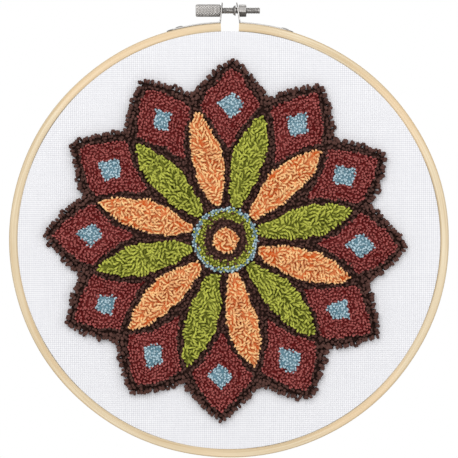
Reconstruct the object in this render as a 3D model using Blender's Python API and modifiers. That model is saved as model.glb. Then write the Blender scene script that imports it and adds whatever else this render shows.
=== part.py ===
"""Punch needle wall piece: a round embroidery hoop holding a cloth with a twelve-part rosette of yarn pile.

Metres, +Z up. The front faces -Y. The world origin is the point under the clamp screw where a nail holds the
piece, and the hoop's centre is below it. Pieces that lie in the hoop's plane are made in its own frame:
x to the right, y up and z towards the viewer.
"""

import math
import random

import bmesh
import bpy
from mathutils import Vector

MM = 0.001
GAP = 0.3 * MM

# Hoop and cloth
HOOP_DEPTH = 9.5 * MM
INNER_HOOP_OUTER_R = 101.6 * MM
INNER_HOOP_THICK = 4.0 * MM
CLOTH_THICK = 1.0 * MM
OUTER_HOOP_THICK = 4.1 * MM
SPLIT_LEFT_X = -3.9 * MM
SPLIT_RIGHT_X = 4.9 * MM
EDGE_CHAMFER = 0.5 * MM
FOLD_R = 0.6 * MM
RING_STEPS = 72
CLOTH_INNER_R = INNER_HOOP_OUTER_R + GAP
CLOTH_OUTER_R = CLOTH_INNER_R + CLOTH_THICK
OUTER_HOOP_INNER_R = CLOTH_OUTER_R + GAP
OUTER_HOOP_OUTER_R = OUTER_HOOP_INNER_R + OUTER_HOOP_THICK
FRONT = HOOP_DEPTH / 2
REAR = -HOOP_DEPTH / 2

# Clamp, with heights above the hoop's centre
STRAP_THICK = 1.0 * MM
STRAP_LINE_R = OUTER_HOOP_OUTER_R + GAP + STRAP_THICK / 2
SCREW_Z = 112.9 * MM
SHANK_R = 1.6 * MM
CLEAR_R = SHANK_R + GAP
SHANK_END_X = 15.5 * MM
HOOP_CENTRE_Z = SHANK_R - SCREW_Z
HEAD_R = 3.1 * MM
HEAD_START_X = -3.8 * MM
HEAD_END_X = -16.2 * MM
COLLAR_START_X = 2.3 * MM
COLLAR_END_X = 3.5 * MM
COLLAR_R = 2.6 * MM
NUT_START_X = 5.1 * MM
NUT_END_X = 8.8 * MM
NUT_ACROSS_FLATS = 5.7 * MM
RIVET_HEAD_R = 2.2 * MM
RIVET_SHANK_R = 1.1 * MM
RIVET_DEPTH = 2.2 * MM
RIVET_HEAD_H = 1.0 * MM
# Each strap: side, turns of its far and near ends from the top in degrees, ear's x, rivet's turn
STRAPS = (("left", -16.6, -3.0, -3.0 * MM, -12.9),
          ("right", 17.2, 3.6, 4.3 * MM, 14.8))

# Rosette
PETAL_COUNT = 12
SECTOR = math.tau / PETAL_COUNT
ROSETTE_X = -1.5 * MM
ROSETTE_Y = -0.35 * MM
ROSETTE_TURN = math.radians(-2.0)
LOW_PILE = 4.5 * MM
HIGH_PILE = 7.5 * MM
KITE_TIP_R = 83.8 * MM
KITE_SIDE_R = 65.2 * MM
KITE_SIDE_HALF = 15.7 * MM
KITE_FOOT_R = 44.2 * MM
KITE_OUTER_BULGE = 1.3 * MM
KITE_INNER_BULGE = -1.1 * MM
SQUARE_R = 66.5 * MM
SQUARE_HALF_ACROSS = 5.9 * MM
SQUARE_HALF_ALONG = 6.8 * MM
PETAL_FOOT_R = 17.4 * MM
PETAL_TIP_R = 64.5 * MM
PETAL_HALF = 7.1 * MM
STAR_TIP_R = 89.2 * MM
STAR_VALLEY_R = 73.6 * MM
STAR_BULGE = 1.3 * MM
DOT_R = 6.2 * MM
BROWN_RING_R = 10.7 * MM
GREEN_RING_R = 14.0 * MM
BLUE_RING_R = 16.2 * MM
EDGE_LUMP = 0.25 * MM
RIM_SCALLOP = 0.8 * MM
CROWN_IN = 1.1 * MM
LOW_CROWN = 1.2 * MM
HIGH_CROWN = 2.4 * MM
SEED = 12

# Each material: slot, base colour (linear), metallic, roughness
MATERIALS = {
    "cloth": ((0.84, 0.84, 0.86), 0.0, 0.9),
    "wood": ((0.80, 0.62, 0.38), 0.0, 0.55),
    "steel": ((0.44, 0.43, 0.40), 1.0, 0.35),
    "yarn_brown": ((0.042, 0.024, 0.019), 0.0, 0.95),
    "yarn_burgundy": ((0.21, 0.048, 0.045), 0.0, 0.95),
    "yarn_blue": ((0.27, 0.40, 0.47), 0.0, 0.95),
    "yarn_green": ((0.25, 0.25, 0.040), 0.0, 0.95),
    "yarn_peach": ((0.72, 0.30, 0.12), 0.0, 0.95),
}


def empty_scene():
    """Takes away whatever objects the scene starts with."""
    for thing in list(bpy.data.objects):
        bpy.data.objects.remove(thing)


def collection(name):
    """A collection linked to the scene."""
    made = bpy.data.collections.new(name)
    bpy.context.scene.collection.children.link(made)
    return made


def material(name, slot):
    """A Principled material of one slot's colour, named for the piece that wears it."""
    colour, metallic, roughness = MATERIALS[slot]
    made = bpy.data.materials.new(f"{slot}.{name}")
    made.use_nodes = True
    shader = made.node_tree.nodes["Principled BSDF"]
    shader.inputs["Base Color"].default_value = (*colour, 1.0)
    shader.inputs["Metallic"].default_value = metallic
    shader.inputs["Roughness"].default_value = roughness
    made.diffuse_color = (*colour, 1.0)
    return made


def mesh_object(name, bm, home, slot=None, parent=None):
    """An object from a bmesh, its faces turned outwards, in a collection and under a parent."""
    bmesh.ops.recalc_face_normals(bm, faces=bm.faces[:])
    mesh = bpy.data.meshes.new(name)
    bm.to_mesh(mesh)
    bm.free()
    made = bpy.data.objects.new(name, mesh)
    home.objects.link(made)
    made.parent = parent
    if slot:
        mesh.materials.append(material(name, slot))
    return made


def as_cutter(thing):
    """Marks an object as a cutting shape that is not part of the piece."""
    thing.hide_render = True
    thing.display_type = "WIRE"
    return thing


def cut(thing, cutter, label):
    """An exact Boolean difference kept as a modifier."""
    step = thing.modifiers.new(label, "BOOLEAN")
    step.operation = "DIFFERENCE"
    step.solver = "EXACT"
    step.object = cutter


def frame_empty(name, home, parent=None):
    """An empty that carries the pieces of one frame."""
    made = bpy.data.objects.new(name, None)
    home.objects.link(made)
    made.parent = parent
    return made


def lathe(name, profile, home, slot, parent=None, steps=RING_STEPS):
    """A turned solid: the profile (radius, z) carried round the local Z axis by a Screw modifier."""
    bm = bmesh.new()
    verts = [bm.verts.new((r, 0.0, z)) for r, z in profile]
    closed = profile[0][0] > 0.0
    pairs = zip(verts, verts[1:] + verts[:1]) if closed else zip(verts, verts[1:])
    for a, b in pairs:
        bm.edges.new((a, b))
    made = mesh_object(name, bm, home, slot, parent)
    screw = made.modifiers.new("turned", "SCREW")
    screw.steps = steps
    screw.render_steps = steps
    screw.use_merge_vertices = True
    screw.merge_threshold = 0.00005
    screw.use_smooth_shade = False
    return made


def rod(name, radius, length, sides, home, parent):
    """A cutting cylinder along local Z, centred on its origin."""
    bm = bmesh.new()
    bmesh.ops.create_cone(bm, cap_ends=True, segments=sides, radius1=radius, radius2=radius, depth=length)
    return as_cutter(mesh_object(name, bm, home, None, parent))


def bowed(start, end, bulge, count):
    """Points from start up to, not including, end along a shallow bow; bulge > 0 is to the left."""
    (x0, y0), (x1, y1) = start, end
    length = math.hypot(x1 - x0, y1 - y0)
    nx, ny = -(y1 - y0) / length, (x1 - x0) / length
    points = []
    for i in range(count):
        t = i / count
        lift = 4.0 * t * (1.0 - t) * bulge
        points.append((x0 + (x1 - x0) * t + nx * lift, y0 + (y1 - y0) * t + ny * lift))
    return points


def lumped(points, amount, chance):
    """Moves the points of an outline by small seeded amounts."""
    return [(x + chance.uniform(-amount, amount), y + chance.uniform(-amount, amount)) for x, y in points]


def grown(points, by):
    """An outline (clockwise) moved outwards by a distance; a negative distance shrinks it."""
    moved = []
    count = len(points)
    for i, (x, y) in enumerate(points):
        ax, ay = points[i - 1]
        bx, by_next = points[(i + 1) % count]
        before = Vector((x - ax, y - ay)).normalized()
        after = Vector((bx - x, by_next - y)).normalized()
        n1 = Vector((-before.y, before.x))
        n2 = Vector((-after.y, after.x))
        miter = (n1 + n2).normalized()
        reach = by / max(0.5, miter.dot(n1))
        moved.append((x + miter.x * reach, y + miter.y * reach))
    return moved


def kite_outline():
    """Clockwise outline of a kite whose long diagonal lies on +Y: bowed outer edges, hollow inner ones."""
    tip = (0.0, KITE_TIP_R)
    right = (KITE_SIDE_HALF, KITE_SIDE_R)
    foot = (0.0, KITE_FOOT_R)
    left = (-KITE_SIDE_HALF, KITE_SIDE_R)
    edges = ((tip, right, KITE_OUTER_BULGE), (right, foot, KITE_INNER_BULGE),
             (foot, left, KITE_INNER_BULGE), (left, tip, KITE_OUTER_BULGE))
    return [p for start, end, bulge in edges for p in bowed(start, end, bulge, 5)]


def square_outline():
    """Clockwise outline of the small diamond inside a kite."""
    corners = ((0.0, SQUARE_R + SQUARE_HALF_ALONG), (SQUARE_HALF_ACROSS, SQUARE_R),
               (0.0, SQUARE_R - SQUARE_HALF_ALONG), (-SQUARE_HALF_ACROSS, SQUARE_R))
    pairs = zip(corners, corners[1:] + corners[:1])
    return [p for start, end in pairs for p in bowed(start, end, 0.3 * MM, 3)]


def petal_half_width(t):
    """Half width of a petal at t from its foot (0) to its tip (1): narrow foot, widest past the middle."""
    return PETAL_HALF * math.sin(math.pi * (0.08 + 0.92 * t) ** 1.15) ** 0.8


def petal_outline():
    """Clockwise outline of a petal that points along +Y."""
    stations = [i / 9 for i in range(9)]
    right = [(petal_half_width(t), PETAL_FOOT_R + (PETAL_TIP_R - PETAL_FOOT_R) * t) for t in stations]
    left = [(-x, y) for x, y in right]
    return [(0.0, PETAL_TIP_R)] + right[::-1] + left


def star_outline(chance):
    """Clockwise outline of the whole rosette: a tip beyond each kite, knobs of pile all along the rim."""
    points = []
    for k in range(PETAL_COUNT):
        tip_turn = k * SECTOR
        valley_turn = (k + 0.5) * SECTOR
        next_turn = (k + 1) * SECTOR
        tip = polar(STAR_TIP_R, tip_turn)
        valley = polar(STAR_VALLEY_R, valley_turn)
        far_tip = polar(STAR_TIP_R, next_turn)
        points += bowed(tip, valley, STAR_BULGE, 10)
        points += bowed(valley, far_tip, STAR_BULGE, 10)
    depths = [RIM_SCALLOP * chance.uniform(0.6, 1.1) if i % 2 else 0.0 for i in range(len(points))]
    lengths = [math.hypot(x, y) for x, y in points]
    return [(x * (1.0 - d / r), y * (1.0 - d / r)) for (x, y), d, r in zip(points, depths, lengths)]


def polar(radius, turn):
    """A point at a radius and a clockwise turn from +Y."""
    return (radius * math.sin(turn), radius * math.cos(turn))


def turned(points, turn):
    """An outline turned clockwise about the origin."""
    c, s = math.cos(turn), math.sin(turn)
    return [(x * c + y * s, y * c - x * s) for x, y in points]


def prism(bm, points, low, high):
    """Adds a straight closed prism over an outline and returns its top face."""
    ring = [bm.verts.new((x, y, low)) for x, y in points]
    face = bm.faces.new(ring)
    made = bmesh.ops.extrude_face_region(bm, geom=[face], use_keep_orig=True)
    raised = [item for item in made["geom"] if isinstance(item, bmesh.types.BMVert)]
    bmesh.ops.translate(bm, verts=raised, vec=(0.0, 0.0, high - low))
    return [item for item in made["geom"] if isinstance(item, bmesh.types.BMFace)][0]


def pad(name, points, height, crown, home, slot, parent, chance=None):
    """A block of pile over an outline, its top edge turned in and, with chance, its crown lumpy."""
    bm = bmesh.new()
    top = prism(bm, points, 0.0, height - crown)
    bmesh.ops.inset_region(bm, faces=[top], thickness=CROWN_IN, depth=0.0, use_even_offset=True)
    bmesh.ops.translate(bm, verts=top.verts[:], vec=(0.0, 0.0, crown))
    if chance:
        made = bmesh.ops.poke(bm, faces=[top], center_mode="MEAN_WEIGHTED")
        rim = {v for f in made["faces"] for v in f.verts} - set(made["verts"])
        for vert in sorted(rim, key=lambda v: v.index):
            vert.co.z -= chance.uniform(0.0, 0.35) * crown
    return mesh_object(name, bm, home, slot, parent)


def build_rings(home, cutters, face):
    """The two wooden hoops and the cloth that is gripped between them."""
    c = EDGE_CHAMFER
    ri, ro = OUTER_HOOP_INNER_R, OUTER_HOOP_OUTER_R
    outer_profile = [(ro - c, FRONT), (ro, FRONT - c), (ro, REAR + c), (ro - c, REAR),
                     (ri, REAR), (ri, FRONT - c / 2), (ri + c / 2, FRONT)]
    outer = lathe("outer_hoop", outer_profile, home, "wood", face)
    bm = bmesh.new()
    bmesh.ops.create_cube(bm, size=1.0)
    size = (SPLIT_RIGHT_X - SPLIT_LEFT_X, 4 * OUTER_HOOP_THICK, 2 * HOOP_DEPTH)
    bmesh.ops.scale(bm, verts=bm.verts[:], vec=size)
    block = as_cutter(mesh_object("cut_split", bm, cutters, None, face))
    block.location = ((SPLIT_LEFT_X + SPLIT_RIGHT_X) / 2, (ri + ro) / 2, 0.0)
    cut(outer, block, "split")

    inner_front = FRONT - CLOTH_THICK - GAP
    ri, ro = INNER_HOOP_OUTER_R - INNER_HOOP_THICK, INNER_HOOP_OUTER_R
    inner_profile = [(ro, inner_front), (ro, REAR), (ri, REAR), (ri, inner_front)]
    lathe("inner_hoop", inner_profile, home, "wood", face)

    ri, ro, behind = CLOTH_INNER_R, CLOTH_OUTER_R, FRONT - CLOTH_THICK
    cloth_profile = [(0.0, FRONT), (ro - FOLD_R, FRONT), (ro, FRONT - FOLD_R), (ro, REAR),
                     (ri, REAR), (ri, behind), (0.0, behind)]
    lathe("cloth", cloth_profile, home, "cloth", face)
    return outer


def strap_rows(far, near, ear_x):
    """Rows (x, z, half width) of a strap's middle line: between two turns on the hoop, then up the ear."""
    rows = []
    for i in range(8):
        turn = math.radians(far + (near - far) * i / 7)
        half = (1.6, 3.4, 4.0)[min(i, 2)] * MM
        rows.append((STRAP_LINE_R * math.sin(turn), STRAP_LINE_R * math.cos(turn), half))
    foot_x = rows[-1][0]
    rows.append((ear_x + 0.42 * (foot_x - ear_x), 108.6 * MM, 4.0 * MM))
    # The ear: height above the hoop's centre, half width
    for height, half in ((109.9, 4.0), (114.4, 4.0), (115.7, 3.3), (116.8, 1.5)):
        rows.append((ear_x, height * MM, half * MM))
    return rows


def build_strap(side, far, near, ear_x, home, cutters, centre):
    """One steel strap: a bent strip, thickened and bored for the screw."""
    bm = bmesh.new()
    rows = []
    for x, z, half in strap_rows(far, near, ear_x):
        rows.append((bm.verts.new((x, -half, z)), bm.verts.new((x, half, z))))
    for (a, b), (c, d) in zip(rows, rows[1:]):
        bm.faces.new((a, b, d, c))
    strap = mesh_object(f"strap_{side}", bm, home, "steel", centre)
    sheet = strap.modifiers.new("sheet", "SOLIDIFY")
    sheet.thickness = STRAP_THICK
    sheet.offset = 0.0
    sheet.use_even_offset = True
    bore = rod(f"cut_ear_{side}", CLEAR_R, 6 * STRAP_THICK, 20, cutters, centre)
    bore.location = (ear_x, 0.0, SCREW_Z)
    bore.rotation_euler = (0.0, math.pi / 2, 0.0)
    cut(strap, bore, "screw hole")
    return strap


def build_rivet(side, degrees, strap, outer, home, cutters, centre):
    """A domed rivet through its strap into the hoop, with clearance holes cut for it."""
    seat = STRAP_LINE_R + STRAP_THICK / 2 + GAP
    turn = math.radians(degrees)
    head, shank = RIVET_HEAD_R, RIVET_SHANK_R
    foot = -(STRAP_THICK + GAP + RIVET_DEPTH)
    profile = [(0.0, RIVET_HEAD_H), (0.5 * head, 0.88 * RIVET_HEAD_H), (0.85 * head, 0.5 * RIVET_HEAD_H),
               (head, 0.0), (shank, 0.0), (shank, foot), (0.0, foot)]
    rivet = lathe(f"rivet_{side}", profile, home, "steel", centre, 16)
    depth = RIVET_DEPTH + STRAP_THICK + 2 * GAP
    hole = rod(f"cut_rivet_{side}", shank + GAP, 2 * depth, 16, cutters, centre)
    for thing in (rivet, hole):
        thing.location = (seat * math.sin(turn), 0.0, seat * math.cos(turn))
        thing.rotation_euler = (0.0, turn, 0.0)
    cut(strap, hole, "rivet hole")
    cut(outer, hole, f"rivet hole {side}")


def build_screw(home, centre):
    """The thumb screw, turned about its own axis: shank, then a chamfered head."""
    c = EDGE_CHAMFER
    profile = [(0.0, SHANK_END_X), (SHANK_R - c / 2, SHANK_END_X), (SHANK_R, SHANK_END_X - c),
               (SHANK_R, HEAD_START_X), (HEAD_R - c, HEAD_START_X), (HEAD_R, HEAD_START_X - c),
               (HEAD_R, HEAD_END_X + c), (HEAD_R - c, HEAD_END_X), (0.0, HEAD_END_X)]
    screw = lathe("clamp_screw", profile, home, "steel", centre, 24)
    screw.location = (0.0, 0.0, SCREW_Z)
    screw.rotation_euler = (0.0, math.pi / 2, 0.0)


def build_nut(home, cutters, centre):
    """The hexagonal nut beyond the right ear, and the small bored collar on that ear's inner face."""
    bm = bmesh.new()
    corner_r = NUT_ACROSS_FLATS / 2 / math.cos(math.pi / 6)
    length = NUT_END_X - NUT_START_X
    bmesh.ops.create_cone(bm, cap_ends=True, segments=6, radius1=corner_r, radius2=corner_r, depth=length)
    nut = mesh_object("clamp_nut", bm, home, "steel", centre)
    bore = rod("cut_nut", CLEAR_R, 2 * length, 20, cutters, centre)
    for thing in (nut, bore):
        thing.location = ((NUT_START_X + NUT_END_X) / 2, 0.0, SCREW_Z)
        thing.rotation_euler = (0.0, math.pi / 2, 0.0)
    cut(nut, bore, "bore")

    waist = COLLAR_R - 0.4 * MM
    profile = [(COLLAR_R, COLLAR_END_X), (COLLAR_R, COLLAR_END_X - 0.4 * MM), (waist, COLLAR_START_X),
               (CLEAR_R, COLLAR_START_X), (CLEAR_R, COLLAR_END_X)]
    collar = lathe("ear_collar", profile, home, "steel", centre, 20)
    collar.location = (0.0, 0.0, SCREW_Z)
    collar.rotation_euler = (0.0, math.pi / 2, 0.0)


def build_centre(home, rosette):
    """The dot in the middle and the three rings of pile round it."""
    # name, slot, inner radius, outer radius, height
    table = (("centre_dot", "yarn_peach", 0.0, DOT_R, HIGH_PILE),
             ("ring_brown", "yarn_brown", DOT_R, BROWN_RING_R, LOW_PILE),
             ("ring_green", "yarn_green", BROWN_RING_R, GREEN_RING_R, LOW_PILE),
             ("ring_blue", "yarn_blue", GREEN_RING_R, BLUE_RING_R, LOW_PILE))
    half = GAP / 2
    for name, slot, ri, ro, height in table:
        outer = ro - half
        inner = ri + half
        low = 0.7 * height
        if ri > 0.0:
            soft = 0.25 * (outer - inner)
            profile = [(outer - soft, height), (outer, low), (outer, 0.0),
                       (inner, 0.0), (inner, low), (inner + soft, height)]
        else:
            profile = [(0.0, height), (0.55 * outer, 0.95 * height), (outer, low), (outer, 0.0), (0.0, 0.0)]
        lathe(name, profile, home, slot, rosette, 28)


def build_rosette(home, cutters, face):
    """Twelve kites with their diamonds, twelve petals in two colours, and the brown pile between them."""
    chance = random.Random(SEED)
    rosette = frame_empty("rosette_frame", home, face)
    rosette.location = (ROSETTE_X, ROSETTE_Y, FRONT + GAP)
    rosette.rotation_euler = (0.0, 0.0, ROSETTE_TURN)
    half = GAP / 2
    network_cutter = bmesh.new()
    below, above = -MM, LOW_PILE + MM

    for k in range(PETAL_COUNT):
        turn = k * SECTOR
        square = turned(square_outline(), turn)
        kite = turned(lumped(kite_outline(), EDGE_LUMP, chance), turn)
        inner = grown(kite, -half)
        piece = pad(f"kite_{k + 1:02d}", inner, LOW_PILE, LOW_CROWN, home, "yarn_burgundy", rosette)
        hole = bmesh.new()
        prism(hole, grown(square, half), below, above)
        hole_cutter = mesh_object(f"cut_square_{k + 1:02d}", hole, cutters, None, rosette)
        cut(piece, as_cutter(hole_cutter), "diamond")
        square = grown(square, -half)
        pad(f"diamond_{k + 1:02d}", square, LOW_PILE, LOW_CROWN, home, "yarn_blue", rosette, chance)
        prism(network_cutter, grown(kite, half), below, above)

        turn = (k + 0.5) * SECTOR
        petal = turned(lumped(petal_outline(), EDGE_LUMP, chance), turn)
        slot = "yarn_green" if k % 2 == 0 else "yarn_peach"
        pad(f"petal_{k + 1:02d}", grown(petal, -half), HIGH_PILE, HIGH_CROWN, home, slot, rosette, chance)
        prism(network_cutter, grown(petal, half), below, above)

    middle = [polar(BLUE_RING_R + half, i * math.tau / 36) for i in range(36)]
    prism(network_cutter, middle, below, above)
    network = pad("brown_ground", star_outline(chance), LOW_PILE, LOW_CROWN, home, "yarn_brown", rosette)
    cutter = as_cutter(mesh_object("cut_ground", network_cutter, cutters, None, rosette))
    cut(network, cutter, "coloured fields")
    build_centre(home, rosette)


def main():
    """Builds every piece."""
    empty_scene()
    home = collection("punch_needle_hoop")
    cutters = collection("cutters")
    centre = frame_empty("hoop_centre", home)
    centre.location = (0.0, 0.0, HOOP_CENTRE_Z)
    face = frame_empty("face_frame", home, centre)
    face.rotation_euler = (math.pi / 2, 0.0, 0.0)
    outer = build_rings(home, cutters, face)
    for side, far, near, ear_x, rivet_turn in STRAPS:
        strap = build_strap(side, far, near, ear_x, home, cutters, centre)
        build_rivet(side, rivet_turn, strap, outer, home, cutters, centre)
    build_screw(home, centre)
    build_nut(home, cutters, centre)
    build_rosette(home, cutters, face)


main()
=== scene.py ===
"""Dresses the punch needle wall piece: loops of yarn, woven cloth, wooden hoops and the knurled clamp.

Everything is in metres in the part's own frame: +X to the right, +Z up, the front towards -Y. Shapes in the
hoop's plane are worked out in the hoop's own frame first: x to the right, y up and z towards the viewer.
"""

import math

import bmesh
import bpy
import numpy as np
from bpy.props import FloatProperty, FloatVectorProperty, IntProperty, PointerProperty
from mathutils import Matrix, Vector


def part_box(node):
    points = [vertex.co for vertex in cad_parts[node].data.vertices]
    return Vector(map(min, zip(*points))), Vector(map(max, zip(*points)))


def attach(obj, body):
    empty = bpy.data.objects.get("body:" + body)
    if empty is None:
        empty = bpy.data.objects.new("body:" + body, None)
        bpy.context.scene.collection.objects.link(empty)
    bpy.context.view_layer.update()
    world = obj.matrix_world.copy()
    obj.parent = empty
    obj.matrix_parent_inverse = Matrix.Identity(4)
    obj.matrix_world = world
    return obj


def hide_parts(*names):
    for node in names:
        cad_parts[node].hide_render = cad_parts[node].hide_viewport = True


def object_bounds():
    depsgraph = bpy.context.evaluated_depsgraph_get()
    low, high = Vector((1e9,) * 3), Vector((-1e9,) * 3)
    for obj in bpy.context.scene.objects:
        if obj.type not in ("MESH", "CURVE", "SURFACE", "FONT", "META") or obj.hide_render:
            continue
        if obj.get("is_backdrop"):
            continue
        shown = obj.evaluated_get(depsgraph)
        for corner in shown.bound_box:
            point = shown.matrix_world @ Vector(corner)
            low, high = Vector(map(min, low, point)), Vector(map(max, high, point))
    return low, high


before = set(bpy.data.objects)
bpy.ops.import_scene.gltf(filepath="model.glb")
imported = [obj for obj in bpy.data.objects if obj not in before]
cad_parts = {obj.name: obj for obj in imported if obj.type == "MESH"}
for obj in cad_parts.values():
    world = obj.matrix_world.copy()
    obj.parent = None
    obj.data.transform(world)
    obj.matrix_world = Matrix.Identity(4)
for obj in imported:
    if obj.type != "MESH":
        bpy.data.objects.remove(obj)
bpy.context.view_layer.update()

bl_info = {
    "name": "Punch needle wall piece",
    "version": (1, 0, 0),
    "blender": (4, 5, 0),
    "location": "3D View > Sidebar > Punch needle",
    "description": "Builds the yarn loops, cloth, hoops and clamp of a punch needle wall piece",
    "category": "Object",
}

MM = 0.001

# Places that come from the frame
cloth_low, cloth_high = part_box("cloth")
ring_low, ring_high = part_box("outer_hoop")
inner_low, inner_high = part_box("inner_hoop")
dot_low, dot_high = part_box("centre_dot")
low_low, low_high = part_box("ring_brown")
screw_low, screw_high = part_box("clamp_screw")
HOOP_CENTRE = np.array(((cloth_low.x + cloth_high.x) / 2, 0.0, (cloth_low.z + cloth_high.z) / 2))
CLOTH_R = (cloth_high.x - cloth_low.x) / 2
HOOP_R = (ring_high.x - ring_low.x) / 2
INNER_HOOP_R = (inner_high.x - inner_low.x) / 2
FRONT = -cloth_low.y
REAR = -cloth_high.y
PILE_FOOT = -dot_high.y
LOW_PILE = low_high.y - low_low.y
HIGH_PILE = dot_high.y - dot_low.y
ROSETTE_X = (dot_low.x + dot_high.x) / 2 - HOOP_CENTRE[0]
ROSETTE_Y = (dot_low.z + dot_high.z) / 2 - HOOP_CENTRE[2]
SCREW_Z = (screw_low.z + screw_high.z) / 2

PETAL_COUNT = 12
SECTOR = math.tau / PETAL_COUNT
ROSETTE_TURN = math.radians(-2.0)
ROOT = 0.25 * MM
HOOP_SHIFT = (0.2 * MM, -0.42 * MM)
RING_THICK = 4.1 * MM
INNER_RING_THICK = 4.0 * MM
CLOTH_THICK = 0.9 * MM
CLOTH_FOLD = 0.3 * MM
CLOTH_PRESS = 0.27 * MM
EAR_HOLE = 1.85 * MM
STRAP_EDGE = 0.12 * MM
HEAD_LENGTH = 12.4 * MM


def length(name, description, default_mm, low_mm=0.01, high_mm=500.0):
    """A length in metres, shown in the scene's unit."""
    return FloatProperty(name=name, description=description, default=default_mm * MM, min=low_mm * MM,
                         max=high_mm * MM, subtype="DISTANCE", unit="LENGTH", precision=5)


def tint(name, description, red, green, blue):
    """A colour given as 0 to 255 display values and kept as linear light."""
    linear = [((c / 255 + 0.055) / 1.055) ** 2.4 if c > 10 else c / 255 / 12.92 for c in (red, green, blue)]
    return FloatVectorProperty(name=name, description=description, default=linear, size=3, min=0.0, max=1.0,
                               subtype="COLOR")


class RosetteSizes(bpy.types.PropertyGroup):
    """Sizes of the rosette's fields, measured from its middle."""

    kite_tip: length("Kite tip", "Distance of a kite's outer tip", 84.2)
    kite_side: length("Kite side", "Distance of a kite's side corners along its axis", 65.6)
    kite_half: length("Kite half width", "Half the width of a kite", 15.3)
    kite_foot: length("Kite foot", "Distance of a kite's inner corner", 43.3)
    diamond_middle: length("Diamond middle", "Distance of a diamond's middle", 66.5)
    diamond_half: length("Diamond half width", "Half the width of a diamond", 6.5)
    diamond_along: length("Diamond half length", "Half the length of a diamond", 7.2)
    petal_foot: length("Petal foot", "Distance of a petal's inner end", 16.8)
    petal_tip: length("Petal tip", "Distance of a petal's outer end", 64.7)
    petal_half: length("Petal half width", "Largest half width of a petal", 7.5)
    star_tip: length("Rim tip", "Distance of the brown rim at a kite's tip", 88.8)
    star_valley: length("Rim valley", "Distance of the brown rim between two kites", 72.9)
    dot: length("Dot radius", "Radius of the dot in the middle", 6.2)
    brown_ring: length("Brown ring radius", "Outer radius of the brown ring", 10.6)
    green_ring: length("Green ring radius", "Outer radius of the green ring", 14.0)
    blue_ring: length("Blue ring radius", "Outer radius of the blue ring", 15.9)
    stray: length("Stray", "How far a field's corners stray from the rule", 0.7, 0.0)
    waver: length("Waver", "How far a field's edges waver in and out", 0.3, 0.0)


class YarnSizes(bpy.types.PropertyGroup):
    """How the yarn is punched."""

    pitch: length("Stitch pitch", "Between neighbouring loops of low pile", 1.29)
    fine_pitch: length("Fine stitch pitch", "Between loops in the diamonds", 1.3)
    ring_pitch: length("Ring stitch pitch", "Between loops in the rings", 1.3)
    brown_pitch: length("Brown stitch pitch", "Between neighbouring brown loops", 1.6)
    high_pitch: length("High stitch pitch", "Between neighbouring loops of high pile", 1.52)
    radius: length("Low loop radius", "Half the thickness of the yarn in low loops", 0.47)
    high_radius: length("High loop radius", "Half the thickness of the yarn in high loops", 0.53)
    brown_radius: length("Brown yarn radius", "Half the thickness of the brown yarn", 0.64)
    rim_radius: length("Rim yarn radius", "Half the thickness of the brown yarn at the rim", 0.88)
    loop_width: length("Loop width", "Distance between the legs of a low loop", 0.75)
    stroke: length("Stroke", "Distance between the legs of a high loop", 2.5)
    lean: length("Lean", "How far the top of a high loop leans over", 1.3)
    rim_lean: length("Rim lean", "How far a loop at a field's edge leans outwards", 0.6)
    fallen: length("Fallen loop", "Reach of a rim loop that lies open on the cloth", 2.3)
    unevenness: FloatProperty(name="Unevenness", description="How much loops differ in height and place",
                              default=0.13, min=0.0, max=0.5, subtype="FACTOR")
    twist: length("Twist length", "Length of yarn in which its plies turn once", 3.2)
    seed: IntProperty(name="Seed", description="Picks another set of uneven loops", default=7, min=0)


class Colours(bpy.types.PropertyGroup):
    """Light and deep colour of each material."""

    # Each yarn's light colour is for the lit tops of its loops; its deep colour is painted shade at the roots,
    # in the gaps between loops and on the cushions under them.
    brown: tint("Brown", "Loop tops of the brown yarn", 95, 64, 57)
    brown_deep: tint("Deep brown", "Roots of the brown yarn", 42, 22, 16)
    burgundy: tint("Burgundy", "Loop tops of the burgundy yarn", 174, 92, 88)
    burgundy_deep: tint("Deep burgundy", "Roots of the burgundy yarn", 92, 12, 12)
    blue: tint("Blue", "Loop tops of the blue yarn", 192, 216, 226)
    blue_deep: tint("Deep blue", "Roots of the blue yarn", 92, 128, 142)
    green: tint("Green", "Loop tops of the green yarn", 192, 196, 84)
    green_deep: tint("Deep green", "Roots of the green yarn", 66, 70, 0)
    peach: tint("Peach", "Loop tops of the peach yarn", 255, 207, 146)
    peach_deep: tint("Deep peach", "Roots of the peach yarn", 196, 78, 4)
    cloth: tint("Cloth", "Threads of the white cloth", 248, 248, 250)
    # Painted shade between the threads of the cloth.
    cloth_gap_shade: tint("Cloth gaps", "Between the threads of the cloth", 202, 202, 210)
    wood: tint("Wood", "Pale wood between the grain lines", 235, 219, 188)
    # Also darkened for the wood's painted edge shade.
    wood_grain: tint("Wood grain", "Grain lines of the wood", 204, 176, 131)
    wood_blush: tint("Wood blush", "Warmer patches of the wood", 240, 205, 160)
    # Also darkened for the steel's painted shade.
    steel: tint("Steel", "Plated steel", 232, 228, 224)


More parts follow.
